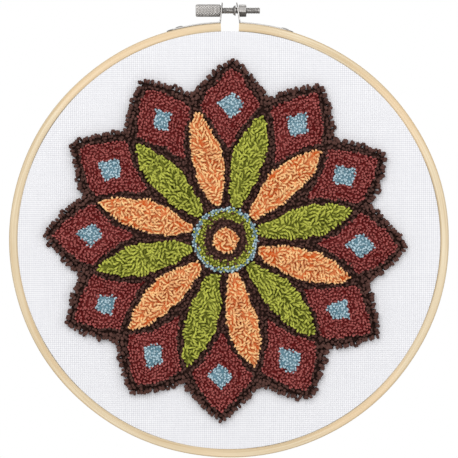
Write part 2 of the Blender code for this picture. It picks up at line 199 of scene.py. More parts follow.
class HoopSizes(bpy.types.PropertyGroup):
    """Sizes of the hoops, the cloth and the clamp that the frame doesn't give."""

    edge_round: length("Edge rounding", "Radius of the wooden ring's edges", 0.5)
    wide: FloatProperty(name="Width share", description="Width of the oval hoops over a circle's",
                        default=1.0085, min=0.95, max=1.05, precision=4)
    tall: FloatProperty(name="Height share", description="Height of the oval hoops over a circle's",
                        default=0.9965, min=0.95, max=1.05, precision=4)
    split_left: length("Split, left", "X of the ring's left end", -3.9, -50.0)
    split_right: length("Split, right", "X of the ring's right end", 4.9)
    thread_pitch: length("Cloth thread pitch", "Distance between two threads of the cloth", 0.97)
    strap_thick: length("Strap thickness", "Thickness of the steel straps", 0.6)
    strap_half: length("Strap half width", "Half the width of the steel straps", 4.1)
    knurl_pitch: length("Knurl pitch", "Length of one diamond of the knurl", 1.4)
    knurl_depth: length("Knurl depth", "Depth of the knurl's grooves", 0.45)
    screw_pitch: length("Screw pitch", "Distance between two turns of the thread", 0.8)
    screw_depth: length("Thread depth", "Depth of the screw's thread", 0.3)


class StageSizes(bpy.types.PropertyGroup):
    """Camera and light."""

    camera_distance: length("Camera distance", "From the hoop's plane to the camera", 1400.0, 100, 9000)
    frame_width: length("Frame width", "Width of the picture at the hoop's plane", 225.3)
    camera_x: length("Camera x", "Camera right of the hoop's middle", 0.25, -500)
    camera_rise: length("Camera rise", "Camera above the hoop's middle", 5.1)
    floor_drop: length("Floor drop", "Floor below the lowest point of the piece", 900.0, 1, 9000)
    key_power: FloatProperty(name="Key light", description="Power of the key light", default=7.1, unit="POWER")
    fill_power: FloatProperty(name="Fill light", description="Power of the fill light", default=2.5,
                              unit="POWER")
    back_power: FloatProperty(name="Back light", description="Power of the light behind", default=4.5,
                              unit="POWER")
    floor_glow: FloatProperty(name="Floor paleness", description="How much paler the camera sees the floor",
                              default=0.35, min=0.0)
    sky: FloatProperty(name="Sky light", description="Strength of the light from all round", default=0.55)


class WallPieceSettings(bpy.types.PropertyGroup):
    """Everything a user would change."""

    rosette: PointerProperty(type=RosetteSizes)
    yarn: PointerProperty(type=YarnSizes)
    colours: PointerProperty(type=Colours)
    hoop: PointerProperty(type=HoopSizes)
    stage: PointerProperty(type=StageSizes)


def settings():
    """The scene's settings of this add-on."""
    return bpy.context.scene.wall_piece


# Frames and flat geometry


def in_hoop(points):
    """Hoop frame to world: x stays, y becomes world z from the hoop's middle, z becomes minus world y."""
    points = np.asarray(points, float)
    return np.stack((points[..., 0], -points[..., 2], points[..., 1]), -1) + HOOP_CENTRE


def in_rosette(points):
    """Rosette frame to world: turned by the rosette's turn, moved to its middle and onto the pile's foot."""
    points = np.asarray(points, float)
    c, s = math.cos(ROSETTE_TURN), math.sin(ROSETTE_TURN)
    x = points[..., 0] * c - points[..., 1] * s + ROSETTE_X
    y = points[..., 0] * s + points[..., 1] * c + ROSETTE_Y
    return in_hoop(np.stack((x, y, points[..., 2] + PILE_FOOT), -1))


def ovalled(points):
    """Points of round hoops made oval: x and y times the width and height shares, then shifted a little."""
    hoop = settings().hoop
    points = np.array(points, float)
    points[..., 0] = points[..., 0] * hoop.wide + HOOP_SHIFT[0]
    points[..., 1] = points[..., 1] * hoop.tall + HOOP_SHIFT[1]
    return points


def turned(points, turn):
    """Points turned clockwise about the origin by an angle."""
    c, s = math.cos(turn), math.sin(turn)
    return points @ np.array(((c, -s), (s, c)))


def swung(vectors, angle):
    """Vectors turned anticlockwise, each by its own angle."""
    c, s = np.cos(angle), np.sin(angle)
    return np.stack((vectors[:, 0] * c - vectors[:, 1] * s, vectors[:, 0] * s + vectors[:, 1] * c), -1)


def polar(radius, turn):
    """Points at radii and clockwise turns from +y."""
    radius, turn = np.broadcast_arrays(radius, turn)
    return np.stack((radius * np.sin(turn), radius * np.cos(turn)), -1)


def bowed(start, end, bulge, count):
    """Points from start up to end on a shallow bow: the chord plus 4 t (1 - t) times bulge to its left."""
    start, end = np.asarray(start, float), np.asarray(end, float)
    t = (np.arange(count) / count)[:, None]
    chord = end - start
    left = np.array((-chord[1], chord[0])) / np.hypot(*chord)
    return start + chord * t + left * (4 * t * (1 - t) * bulge)


def moved(outline, by):
    """A clockwise outline whose points move outwards along the mean of their two edge normals."""
    ahead = np.roll(outline, -1, 0) - outline
    ahead /= np.hypot(*ahead.T)[:, None]
    behind = np.roll(ahead, 1, 0)
    normal = np.stack((-ahead[:, 1] - behind[:, 1], ahead[:, 0] + behind[:, 0]), -1)
    normal /= np.maximum(np.hypot(*normal.T), 1e-9)[:, None]
    square = -normal[:, 0] * ahead[:, 1] + normal[:, 1] * ahead[:, 0]
    return outline + normal * (by / np.maximum(square, 0.5))[:, None]


def walked(outline, step):
    """A closed outline walked in equal steps of about the given length."""
    closed = np.vstack((outline, outline[:1]))
    along = np.concatenate(([0.0], np.cumsum(np.hypot(*np.diff(closed, axis=0).T))))
    count = max(3, round(along[-1] / step))
    at = np.arange(count) * along[-1] / count
    return np.stack((np.interp(at, along, closed[:, 0]), np.interp(at, along, closed[:, 1])), -1)


def to_edge(spots, outline):
    """Distance of each spot to the nearest point of a closed outline, and the unit vector from it."""
    edge = np.roll(outline, -1, 0) - outline
    rel = spots[:, None] - outline
    t = np.clip((rel * edge).sum(-1) / np.maximum((edge * edge).sum(-1), 1e-18), 0, 1)
    away = rel - t[..., None] * edge
    distance = np.hypot(away[..., 0], away[..., 1])
    nearest = distance.argmin(1)
    picked = np.arange(len(spots))
    distance, away = distance[picked, nearest], away[picked, nearest]
    return distance, away / np.maximum(distance, 1e-9)[:, None]


def inside(spots, outline):
    """Which spots lie inside a closed outline: a ray to the right crosses an odd number of its edges."""
    a, b = outline, np.roll(outline, -1, 0)
    x, y = spots[:, None, 0], spots[:, None, 1]
    spans = (a[:, 1] > y) != (b[:, 1] > y)
    rise = np.where(np.abs(b[:, 1] - a[:, 1]) < 1e-12, 1e-12, b[:, 1] - a[:, 1])
    crossing = (b[:, 0] - a[:, 0]) * (y - a[:, 1]) / rise + a[:, 0]
    return (spans & (x < crossing)).sum(1) % 2 == 1


def thinned(spots, gap):
    """Keeps each spot, in order, that is at least a gap away from all those kept before it."""
    kept = np.empty((0, 2))
    chosen = []
    for i, spot in enumerate(spots):
        if len(kept) == 0 or np.hypot(*(kept - spot).T).min() >= gap:
            kept = np.vstack((kept, spot))
            chosen.append(i)
    return np.array(chosen, int)


def stitch_rows(outline, holes, pitch, rows, rng):
    """Places for loops in rows that echo a field's edges: row k lies (k + 1/2) pitches inside each edge.

    What is left between the rows is filled with seeded spots. Gives the spots, the unit vectors along the row
    and to the nearest edge, the distances to it and whether that edge is the outer one."""
    ringed = []
    for k in range(rows):
        inset = (k + 0.5) * pitch
        ringed.append(walked(moved(outline, -inset), pitch))
        ringed += [walked(moved(hole, inset), pitch) for hole in holes]
    low, high = outline.min(0), outline.max(0)
    ringed.append(rng.uniform(low, high, (int(6 * np.prod((high - low) / pitch)), 2)))
    spots = np.concatenate(ringed)
    keep = inside(spots, outline)
    for hole in holes:
        keep &= ~inside(spots, hole)
    spots = spots[keep]
    distance, away = (np.stack(each) for each in zip(*(to_edge(spots, edge) for edge in [outline, *holes])))
    nearest, picked = distance.argmin(0), np.arange(len(spots))
    distance, outward = distance[nearest, picked], -away[nearest, picked]
    fits = distance > 0.42 * pitch
    columns = [column[fits] for column in (spots, outward, distance, nearest == 0)]
    chosen = thinned(columns[0], 0.78 * pitch)
    spots, outward, distance, outer = (column[chosen] for column in columns)
    return spots, np.stack((-outward[:, 1], outward[:, 0]), -1), outward, distance, outer


# Meshes from arrays


def grid_part(points, wrap=(False, False), flip=False, uv_step=(1.0, 1.0), tone=0.5, rise=1.0):
    """One surface over a grid of points; four neighbours are a face, and it joins round where wrapped. Its rise
    sets the material's painted shade: 1 leaves none, 0 is the deepest.
    """
    rows, columns = points.shape[:2]
    i, j = np.meshgrid(np.arange(rows if wrap[0] else rows - 1),
                       np.arange(columns if wrap[1] else columns - 1), indexing="ij")
    ci, cj = np.stack((i, i + 1, i + 1, i), -1), np.stack((j, j, j + 1, j + 1), -1)
    if flip:
        ci, cj = ci[..., ::-1], cj[..., ::-1]
    quads = (ci % rows) * columns + cj % columns
    uv = np.stack((ci * uv_step[0], cj * uv_step[1]), -1)
    tone, rise = (np.broadcast_to(each, (rows * columns,)).astype(float) for each in (tone, rise))
    return {"verts": points.reshape(-1, 3), "quads": quads.reshape(-1, 4), "uv": uv.reshape(-1, 2),
            "tone": tone, "rise": rise}


def make_piece(name, parts, material, node, body="hoop", weld=True, sharp=None):
    """One closed, smooth mesh object at the origin from several parts, riding on a body in place of a node."""
    starts = np.cumsum([0] + [len(part["verts"]) for part in parts[:-1]])
    quads = np.concatenate([part["quads"] + start for part, start in zip(parts, starts)])
    joined = {key: np.concatenate([part[key] for part in parts]) for key in ("verts", "uv", "tone", "rise")}
    mesh = bpy.data.meshes.new(name)
    mesh.vertices.add(len(joined["verts"]))
    mesh.vertices.foreach_set("co", joined["verts"].astype(np.float32).ravel())
    mesh.loops.add(quads.size)
    mesh.loops.foreach_set("vertex_index", quads.astype(np.int32).ravel())
    mesh.polygons.add(len(quads))
    mesh.polygons.foreach_set("loop_start", np.arange(0, quads.size, 4, dtype=np.int32))
    mesh.update(calc_edges=True)
    mesh.uv_layers.new(name="UVMap").data.foreach_set("uv", joined["uv"].astype(np.float32).ravel())
    # tone is a random tone; rise carries the painted shade.
    for key in ("tone", "rise"):
        mesh.attributes.new(key, "FLOAT", "POINT").data.foreach_set("value", joined[key].astype(np.float32))
    if weld:
        bm = bmesh.new()
        bm.from_mesh(mesh)
        bmesh.ops.remove_doubles(bm, verts=bm.verts[:], dist=1e-6)
        bm.to_mesh(mesh)
        bm.free()
    mesh.polygons.foreach_set("use_smooth", np.ones(len(mesh.polygons), bool))
    if sharp:
        mesh.set_sharp_from_angle(angle=math.radians(sharp))
    mesh.materials.append(material)
    made = bpy.data.objects.new(name, mesh)
    bpy.context.scene.collection.objects.link(made)
    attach(made, body)
    if node:
        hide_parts(node)
    return made


def yarn_loops(spots, along, lean, height, width, radius, steps, arch, fade, rng):
    """Arches of yarn, all at once, as six-sided tubes.

    A loop's middle line runs, for u from 0 to 1, from one leg to the other: across by -cos(pi u) half widths,
    up by sin(pi u) to the arch's power of its height, and over by its lean times that rise to the power 1.7.
    The tube is thinnest at the roots and full at the top. Its attribute rise is the rise to the power fade, and
    it sets the yarn's painted shade: deep at the roots, light on the top."""
    sides = 6
    count = len(spots)
    u = np.linspace(0.0, 1.0, steps)
    up = np.where((u > 0) & (u < 1), np.sin(np.pi * u) ** arch, 0.0)
    across = -np.cos(np.pi * u) * (1.0 - 0.12 * np.sin(np.pi * u))
    line = np.empty((count, steps, 3))
    side = (across * 0.5)[None, :, None] * width[:, None, None] * along[:, None, :]
    line[..., :2] = spots[:, None, :] + side + (up ** 1.7)[None, :, None] * lean[:, None, :]
    line[..., 2] = up[None, :] * (height - radius)[:, None] - ROOT
    tangent = np.gradient(line, axis=1)
    tangent /= np.linalg.norm(tangent, axis=-1, keepdims=True)
    flat = np.zeros((count, 1, 3))
    flat[:, 0, 0], flat[:, 0, 1] = -along[:, 1], along[:, 0]
    flat = flat - (flat * tangent).sum(-1, keepdims=True) * tangent
    flat /= np.linalg.norm(flat, axis=-1, keepdims=True)
    normal = np.cross(tangent, flat)
    turn = np.arange(sides) * math.tau / sides
    thick = radius[:, None] * (0.72 + 0.28 * np.sin(np.pi * u))[None]
    ring = np.cos(turn)[:, None] * normal[:, :, None, :] + np.sin(turn)[:, None] * flat[:, :, None, :]
    verts = line[:, :, None, :] + thick[..., None, None] * ring

    i, j = (each.reshape(-1, 1) for each in np.meshgrid(np.arange(steps - 1), np.arange(sides), indexing="ij"))
    ci, cj = i + (0, 1, 1, 0), j + (0, 0, 1, 1)
    last = (steps - 1) * sides
    caps = np.array(((0, 1, 2, 5), (2, 3, 4, 5), (last + 5, last + 2, last + 1, last),
                     (last + 5, last + 4, last + 3, last + 2)))
    one = np.concatenate((ci * sides + cj % sides, caps))
    quads = (one[None] + (np.arange(count) * steps * sides)[:, None, None]).reshape(-1, 4)
    lengths = np.linalg.norm(np.diff(line, axis=1), axis=-1).cumsum(1)
    lengths = np.concatenate((np.zeros((count, 1)), lengths), 1) + rng.uniform(0, 0.01, (count, 1))
    wall_uv = np.stack((lengths[:, ci], np.broadcast_to(cj / sides, (count,) + cj.shape)), -1)
    uv = np.concatenate((wall_uv, np.zeros((count, len(caps), 4, 2))), 1).reshape(-1, 2)
    tone = np.repeat(rng.uniform(0, 1, count), steps * sides)
    # Painted shade along each loop: 0 at the roots, 1 on the top.
    rise = np.tile(np.repeat(up ** fade, sides), count)
    return {"verts": in_rosette(verts.reshape(-1, 3)), "quads": quads, "uv": uv, "tone": tone, "rise": rise}


def low_loops(rows, sizes, pitch, radius, height, rng, lean_share=1.0, fallen_share=0.0, fingers=False):
    """Upright loops of low pile on given rows: turned a little out of the row, at an edge leaning over it.

    A seeded share of the loops at an edge has fallen over it and lies open on the cloth. With fingers, the
    others there are longer and stand square to the edge."""
    spots, row, outward, distance = rows[:4]
    count = len(spots)
    spots = spots + rng.normal(0, 1.2 * sizes.unevenness * pitch, (count, 2))
    at_edge = distance < pitch
    square = at_edge & fingers
    along = swung(row, rng.normal(0, 0.7, count) * np.where(square, 0.5, 1.0) + square * math.pi / 2)
    lean_by = lean_share * sizes.rim_lean * radius / sizes.radius * rng.uniform(0.3, 1.5, count)
    lean = outward * (at_edge * lean_by)[:, None] + rng.normal(0, 0.35 * MM, (count, 2))
    tall = height * (1.0 - rng.uniform(0, 1.4 * sizes.unevenness, count))
    width = sizes.loop_width * pitch / sizes.pitch * rng.uniform(0.8, 1.25, count) * np.where(square, 1.5, 1.0)
    thick = radius * rng.uniform(0.9, 1.12, count)
    fallen = at_edge & (rng.random(count) < fallen_share)
    along = np.where(fallen[:, None], row, along)
    lean = np.where(fallen[:, None], outward * sizes.fallen, lean)
    tall, width = np.where(fallen, 0.5 * height, tall), np.where(fallen, 0.85 * sizes.fallen, width)
    thick = np.where(fallen, 0.85 * thick, thick)
    return yarn_loops(spots, along, lean, tall, width, thick, 6, 0.6, 2.5, rng)


def high_loops(rows, sizes, height, crown, axis, rng):
    """Long loops of high pile laid over: short strokes that fan out from the field's middle.

    A stroke's way is the sum of the way to the edge, the field's axis and a wander that changes smoothly from
    place to place. Height falls towards the edge by the crown's share."""
    spots, along, outward, distance = rows[:4]
    count = len(spots)
    uneven = sizes.unevenness
    spots = spots + rng.normal(0, uneven * sizes.high_pitch, (count, 2))
    reach = distance / distance.max()
    wave = rng.uniform(0.25, 0.9, (2, 5)) / MM * rng.choice((-1, 1), (2, 5))
    wander = 0.55 * np.sin(spots @ wave + rng.uniform(0, math.tau, 5)).sum(-1) + rng.normal(0, 0.4, count)
    way = outward * (0.65 - 0.3 * reach)[:, None] + 0.7 * axis
    way = swung(way / np.hypot(*way.T)[:, None], wander)
    compact = 0.45 + 0.55 * np.clip(distance / (1.8 * sizes.high_pitch), 0, 1)
    over = way * (sizes.lean * compact * rng.uniform(0.3, 1.0, count))[:, None]
    over += outward * (0.25 * sizes.lean * (1 - reach) ** 2)[:, None]
    tall = height * (1.0 - crown * (1.0 - reach) ** 1.5) * (1.0 - rng.uniform(0, 1.6 * uneven, count))
    tall *= np.where(rng.random(count) < 0.1, 0.75, 1.0)
    width = sizes.stroke * compact * rng.uniform(0.75, 1.25, count)
    thick = sizes.high_radius * rng.uniform(0.9, 1.1, count)
    return yarn_loops(spots, way, over, tall, width, thick, 8, 0.45, 1.3, rng)


def back_stitches(spots, along, length, width, rng):
    """The flat stitches behind the cloth, all at once: a low hipped bar for each.

    A stitch runs along its row to both sides of its spot; its four edges at the cloth are longer and wider
    than its two ridges, which stand off the cloth by a third of its width."""
    count = len(spots)
    side = np.stack((-along[:, 1], along[:, 0]), -1)
    run = np.array(((-0.5, -0.36, -0.36, -0.5), (0.5, 0.36, 0.36, 0.5))) * length
    across = np.array((-0.5, -0.28, 0.28, 0.5)) * width
    depth = np.array((0.0, 1.0, 1.0, 0.0)) * 0.33 * width
    longer = rng.uniform(0.85, 1.15, count)[:, None, None, None]
    higher = rng.uniform(0.8, 1.2, count)[:, None, None]
    verts = np.empty((count, 2, 4, 3))
    verts[..., :2] = (spots[:, None, None] + longer * run[None, :, :, None] * along[:, None, None]
                      + across[None, None, :, None] * side[:, None, None])
    verts[..., 2] = FRONT - CLOTH_THICK - PILE_FOOT - higher * depth[None, None]
    around = np.arange(4)
    walls = np.stack((around, around + 4, (around + 1) % 4 + 4, (around + 1) % 4), -1)
    one = np.concatenate((walls, ((0, 1, 2, 3), (7, 6, 5, 4))))
    quads = (one[None] + (np.arange(count) * 8)[:, None, None]).reshape(-1, 4)
    place = np.stack((one // 4 * length, one % 4 * 0.25), -1)
    # rise paints shade on each stitch: light on its ridges, deepest at its edges on the cloth.
    return {"verts": in_rosette(verts.reshape(-1, 3)), "quads": quads,
            "uv": np.broadcast_to(place, (count,) + place.shape).reshape(-1, 2),
            "tone": np.repeat(rng.uniform(0, 1, count), 8), "rise": np.tile(depth / depth.max(), 2 * count)}


def bed(outline, low, high, rng, tone=0.2):
    """The matted roots of a field: a flat cushion over an outline, as a function of walk and reach. It stands in
    for the packed legs of the yarn and is painted all over in the deep colour as shade.

    Reach runs from the middle (0) to the edge (1), down the side and back under it; the top is domed by one
    minus reach to the eighth power and uneven by seeded lumps."""
    edge = walked(outline, 1.2 * MM)
    middle = edge.mean(0)
    reach = np.array((0.0, 0.3, 0.55, 0.75, 0.88, 0.96, 1.0, 1.0, 0.5, 0.0))
    height = np.where(np.arange(10) < 7, low + (high - low) * (1 - reach ** 8), 0.0)
    lumps = rng.normal(0, 0.04, (len(edge), 10)) * (high - low)
    lumps[:, [0, 6, 7, 8, 9]] = 0.0
    points = np.empty((len(edge), 10, 3))
    points[..., :2] = middle + (edge - middle)[:, None, :] * reach[None, :, None]
    points[..., 2] = height + lumps
    # rise 0: the whole cushion takes the yarn's painted shade; its tone sets how deep.
    return grid_part(in_rosette(points), wrap=(True, False), uv_step=(1.2 * MM, MM), tone=tone, rise=0.0)


# Outlines of the fields


def strayed(corners, kind, k, share=1.0):
    """Corners each shifted by a share of the stray, seeded by the field's kind and number."""
    rng = np.random.default_rng((settings().yarn.seed, 8, kind, k))
    corners = np.asarray(corners, float)
    return corners + rng.uniform(-1, 1, corners.shape) * share * settings().rosette.stray


def wavered(outline, kind, k, amount):
    """An outline moved in and out by an amount times a seeded sum of four waves round it."""
    rng = np.random.default_rng((settings().yarn.seed, 9, kind, k))
    around = np.linspace(0, math.tau, len(outline), endpoint=False)[:, None]
    share, start = rng.uniform(0.3, 0.9, 4), rng.uniform(0, math.tau, 4)
    return moved(outline, amount * (share * np.sin(around * (3, 5, 8, 11) + start)).sum(-1))


def kite_outline(sizes, k):
    """Clockwise outline of kite k: two bowed outer edges and two hollow inner ones, turned to its place."""
    corners = strayed(((0.0, sizes.kite_tip), (sizes.kite_half, sizes.kite_side), (0.0, sizes.kite_foot),
                       (-sizes.kite_half, sizes.kite_side)), 0, k)
    edges = [bowed(corners[i], corners[(i + 1) % 4], bulge * sizes.kite_half, 12)
             for i, bulge in enumerate((0.1, -0.12, -0.12, 0.1))]
    return turned(wavered(np.concatenate(edges), 0, k, sizes.waver), k * SECTOR)


def diamond_outline(sizes, k):
    """Clockwise outline of the diamond in the middle of kite k."""
    middle, half, along = sizes.diamond_middle, sizes.diamond_half, sizes.diamond_along
    corners = strayed(((0.0, middle + along), (half, middle), (0.0, middle - along), (-half, middle)), 1, k,
                      1.6)
    edges = [bowed(corners[i], corners[(i + 1) % 4], 0.0, 6) for i in range(4)]
    return turned(wavered(np.concatenate(edges), 1, k, sizes.waver), k * SECTOR)


def petal_outline(sizes, k):
    """Clockwise outline of petal k: half width is a sine of the way along to the power 0.8."""
    t = np.arange(24) / 24
    half = sizes.petal_half * np.sin(np.pi * (0.08 + 0.92 * t) ** 1.15) ** 0.8
    foot, reach = sizes.petal_foot, sizes.petal_tip - sizes.petal_foot
    right = np.stack((half, foot + reach * t), -1)
    walk = np.concatenate((((0.0, sizes.petal_tip),), right[::-1], right * (-1.0, 1.0)))
    sway = strayed(((0.0, 0.0),), 2, k)[0, 0]
    walk[:, 0] += 1.5 * sway * np.sin(np.pi * (walk[:, 1] - foot) / reach)
    return turned(wavered(walk, 2, k, 1.4 * sizes.waver), (k + 0.5) * SECTOR)


def star_outline(sizes):
    """Clockwise outline of the brown rim: a tip beyond each kite and a valley between two."""
    corners = []
    for k in range(PETAL_COUNT):
        corners.append(turned(strayed(((0.0, sizes.star_tip),), 0, k), k * SECTOR)[0])
        corners.append(polar(sizes.star_valley, (k + 0.5) * SECTOR))
    return np.concatenate([bowed(corner, after, 0.012 * sizes.star_tip, 10)
                           for corner, after in zip(corners, corners[1:] + corners[:1])])


def circle(radius):
    """Clockwise circle about the rosette's middle."""
    return polar(radius, np.linspace(0, math.tau, 48, endpoint=False))


# Materials


def add(tree, kind, inputs=(), **choices):
    """A shader node with its choices and inputs set; an input given as a socket is linked."""
    made = tree.nodes.new(kind)
    for key, value in choices.items():
        setattr(made, key, value)
    for key, value in dict(inputs).items():
        if isinstance(value, bpy.types.NodeSocket):
            tree.links.new(value, made.inputs[key])
        else:
            made.inputs[key].default_value = value
    return made


def sums(tree, operation, *values):
    """The output of a Math node."""
    return add(tree, "ShaderNodeMath", dict(enumerate(values)), operation=operation).outputs[0]


def scaled(tree, value, by, plus=0.0):
    """A value times another plus a third."""
    return sums(tree, "MULTIPLY_ADD", value, by, plus)


def noise(tree, where, scale, detail, stretch=None, **more):
    """A noise node on coordinates that may be stretched."""
    if stretch:
        where = add(tree, "ShaderNodeMapping", {"Vector": where, "Scale": stretch}).outputs[0]
    return add(tree, "ShaderNodeTexNoise", {"Vector": where, "Scale": scale, "Detail": detail, **more}).outputs


def point_value(tree, name):
    """A mesh attribute that make_piece writes."""
    return add(tree, "ShaderNodeAttribute", attribute_name=name).outputs["Fac"]


def blended(tree, factor, first, second):
    """The colour output of a Mix node."""
    return add(tree, "ShaderNodeMix", {0: factor, 6: first, 7: second}, data_type="RGBA").outputs[2]


def finished(tree, shader, colour, height, strength, depth):
    """Links a base colour, and a bump from a height."""
    tree.links.new(colour, shader.inputs["Base Color"])
    bump = add(tree, "ShaderNodeBump", {"Height": height, "Strength": strength, "Distance": depth})
    tree.links.new(bump.outputs[0], shader.inputs["Normal"])


def new_material(name, **constants):
    """A material, its tree and its Principled shader with the constant inputs set."""
    made = bpy.data.materials.new(name)
    made.use_nodes = True
    shader = made.node_tree.nodes["Principled BSDF"]
    for key, value in constants.items():
        shader.inputs[key.replace("_", " ")].default_value = value
    return made, made.node_tree, shader


def rgba(colour, gain=1.0):
    """A colour with full opacity."""
    return (*(min(1.0, c * gain) for c in colour), 1.0)


def yarn_material(name, light, deep):
    """Soft plied yarn: painted shade, deep in the roots and light on the tops; a tone for each loop; plies as
    fine ridges, with painted shade in the grooves between them.
    """
    made, tree, shader = new_material(name, Roughness=0.95, Sheen_Weight=0.12, Sheen_Roughness=0.6,
                                      Sheen_Tint=rgba(light), Specular_IOR_Level=0.25)
    places = add(tree, "ShaderNodeTexCoord").outputs
    along = add(tree, "ShaderNodeSeparateXYZ", {0: places["UV"]}).outputs
    turns = sums(tree, "DIVIDE", along[0], settings().yarn.twist)
    phase = sums(tree, "MULTIPLY", scaled(tree, along[1], 3.0, turns), math.tau)
    ply = scaled(tree, sums(tree, "SINE", phase), 0.5, 0.5)
    fuzz = noise(tree, places["Object"], 1500.0, 2.0)["Fac"]
    patch = noise(tree, places["Object"], 130.0, 1.0)["Fac"]
    # lit is how light the painted shade leaves a point: by the loop's rise, plus a random tone for each loop.
    lit = scaled(tree, point_value(tree, "rise"), 0.68, scaled(tree, point_value(tree, "tone"), 0.44, -0.03))
    # Fuzz and patches mottle the tone at random; the ply term paints shade in the grooves between the plies.
    for mottle, middle, share in ((fuzz, 0.5, 0.6), (patch, 0.5, 0.6), (ply, 0.6, 0.16)):
        lit = scaled(tree, sums(tree, "SUBTRACT", mottle, middle), share, lit)
    lit = add(tree, "ShaderNodeClamp", {0: lit}).outputs[0]
    finished(tree, shader, blended(tree, lit, rgba(deep), rgba(light)), scaled(tree, fuzz, 0.5, ply), 0.7,
             0.12 * MM)
    return made


def cloth_material():
    """Plain weave: warp and weft pass over each other in turn; the gaps between threads and the threads' sides
    are painted a little grey as shade.
    """
    colours, pitch = settings().colours, settings().hoop.thread_pitch
    made, tree, shader = new_material("white_plain_weave", Roughness=0.9, Sheen_Weight=0.1)
    where = add(tree, "ShaderNodeTexCoord").outputs["Object"]
    waver = noise(tree, where, 60.0, 2.0)["Color"]
    shift = add(tree, "ShaderNodeVectorMath", {0: waver, "Scale": 0.25 * pitch}, operation="SCALE").outputs[0]
    place = add(tree, "ShaderNodeVectorMath", {0: where, 1: shift}, operation="ADD").outputs[0]
    axes = add(tree, "ShaderNodeSeparateXYZ", {0: place}).outputs
    turns = [sums(tree, "MULTIPLY", axes[i], math.pi / pitch) for i in (0, 2)]
    waves = [sums(tree, "ABSOLUTE", sums(tree, "SINE", turn)) for turn in turns]
    over = sums(tree, "MULTIPLY", *(sums(tree, "SINE", sums(tree, "ADD", turn, math.pi / 2)) for turn in turns))
    over = scaled(tree, over, 0.5, 0.5)
    # threads is 1 on the threads' crowns and falls to 0 in the gaps, where the colour turns to the painted
    # shade.
    threads = sums(tree, "MULTIPLY", *(sums(tree, "POWER", wave, 0.35) for wave in waves))
    slubs = [noise(tree, place, 1.6 / pitch, 1.0, stretch)["Fac"]
             for stretch in ((1.0, 1.0, 0.05), (0.05, 1.0, 1.0))]
    slub = sums(tree, "SUBTRACT", sums(tree, "ADD", *slubs), 1.0)
    shown = add(tree, "ShaderNodeClamp", {0: scaled(tree, slub, 0.2, threads)}).outputs[0]
    finished(tree, shader, blended(tree, shown, rgba(colours.cloth_gap_shade), rgba(colours.cloth)),
             scaled(tree, over, 0.4, threads), 0.5, 0.15 * MM)
    return made


def wood_material(name):
    """Pale bare wood: grain that runs along the ring on its UV map, warm patches, and painted shade on the
    rounded edges.
    """
    colours = settings().colours
    made, tree, shader = new_material(name)
    uv = add(tree, "ShaderNodeTexCoord").outputs["UV"]
    fine = noise(tree, uv, 1.0, 4.0, (22.0, 1500.0, 1.0), Roughness=0.6)["Fac"]
    slow = noise(tree, uv, 1.0, 2.0, (9.0, 420.0, 1.0))["Fac"]
    patch = noise(tree, uv, 1.0, 1.0, (14.0, 160.0, 1.0))["Fac"]
    grain = scaled(tree, fine, 0.55, sums(tree, "MULTIPLY", slow, 0.45))
    ramp = add(tree, "ShaderNodeValToRGB", {0: grain})
    for element, position, colour in zip(ramp.color_ramp.elements, (0.34, 0.60), ("wood_grain", "wood")):
        element.position = position
        element.color = rgba(getattr(colours, colour))
    warm = add(tree, "ShaderNodeMapRange", {0: patch, 1: 0.48, 2: 0.62, 3: 0.0, 4: 0.4}).outputs[0]
    warmed = blended(tree, warm, ramp.outputs[0], rgba(colours.wood_blush))
    # Painted shade on the rounded edges, where rise is 0: the grain colour, darkened, is mixed in.
    edge = sums(tree, "MULTIPLY", sums(tree, "SUBTRACT", 1.0, point_value(tree, "rise")), 0.35)
    finished(tree, shader, blended(tree, edge, warmed, rgba(colours.wood_grain, 0.72)), grain, 0.35, 0.12 * MM)
    tree.links.new(scaled(tree, grain, -0.25, 0.68), shader.inputs["Roughness"])
    return made


def steel_material(name):
    """Plated steel with fine scuffs and painted shade: the attribute rise is 0 for the deepest painted shade,
    deep in a groove, and lower values paint whole parts darker.
    """
    made, tree, shader = new_material(name, Metallic=1.0)
    where = add(tree, "ShaderNodeTexCoord").outputs["Object"]
    scuff = noise(tree, where, 900.0, 4.0)["Fac"]
    cloud = noise(tree, where, 160.0, 2.0)["Fac"]
    steel = settings().colours.steel
    mixed = scaled(tree, scuff, 0.5, sums(tree, "MULTIPLY", cloud, 0.5))
    bright = blended(tree, mixed, rgba(steel, 0.7), rgba(steel, 1.2))
    # Painted shade: by rise, the steel darkened to a sixth is mixed in.
    finished(tree, shader, blended(tree, point_value(tree, "rise"), rgba(steel, 0.16), bright), scuff, 0.15,
             0.05 * MM)
    tree.links.new(scaled(tree, scuff, 0.3, 0.22), shader.inputs["Roughness"])
    return made


def material_of(colour_name):
    """The yarn material of a colour, made once and shared by its fields."""
    name = f"{colour_name}_yarn"
    colours = settings().colours
    light, deep = getattr(colours, colour_name), getattr(colours, f"{colour_name}_deep")
    return bpy.data.materials.get(name) or yarn_material(name, light, deep)


# Pieces


punched = {}


def field(name, node, colour, outline, holes, rng, pitch, roots, height=None, crown=0.0, lean_share=0.6):
    """One field of pile in place of its CAD node: matted roots and rows of low or high loops."""
    sizes = settings().yarn
    rows = stitch_rows(outline, holes, pitch, int(0.5 * np.ptp(outline, axis=0).min() / pitch) + 1, rng)
    punched.setdefault(colour, []).append(rows[:2])
    if height:
        middle = outline.mean(0)
        loops = high_loops(rows, sizes, height, crown, middle / np.hypot(*middle), rng)
    else:
        loops = low_loops(rows, sizes, pitch, sizes.radius, LOW_PILE, rng, lean_share)
    tall = roots * (height or LOW_PILE)
    # The cushion's painted shade is lighter under high pile (tone 0.5) than under low pile (0.2).
    cushion = bed(moved(outline, -0.6 * sizes.radius), 0.75 * tall, tall, rng, 0.5 if height else 0.2)
    make_piece(name, [cushion, loops], material_of(colour), node, weld=False)


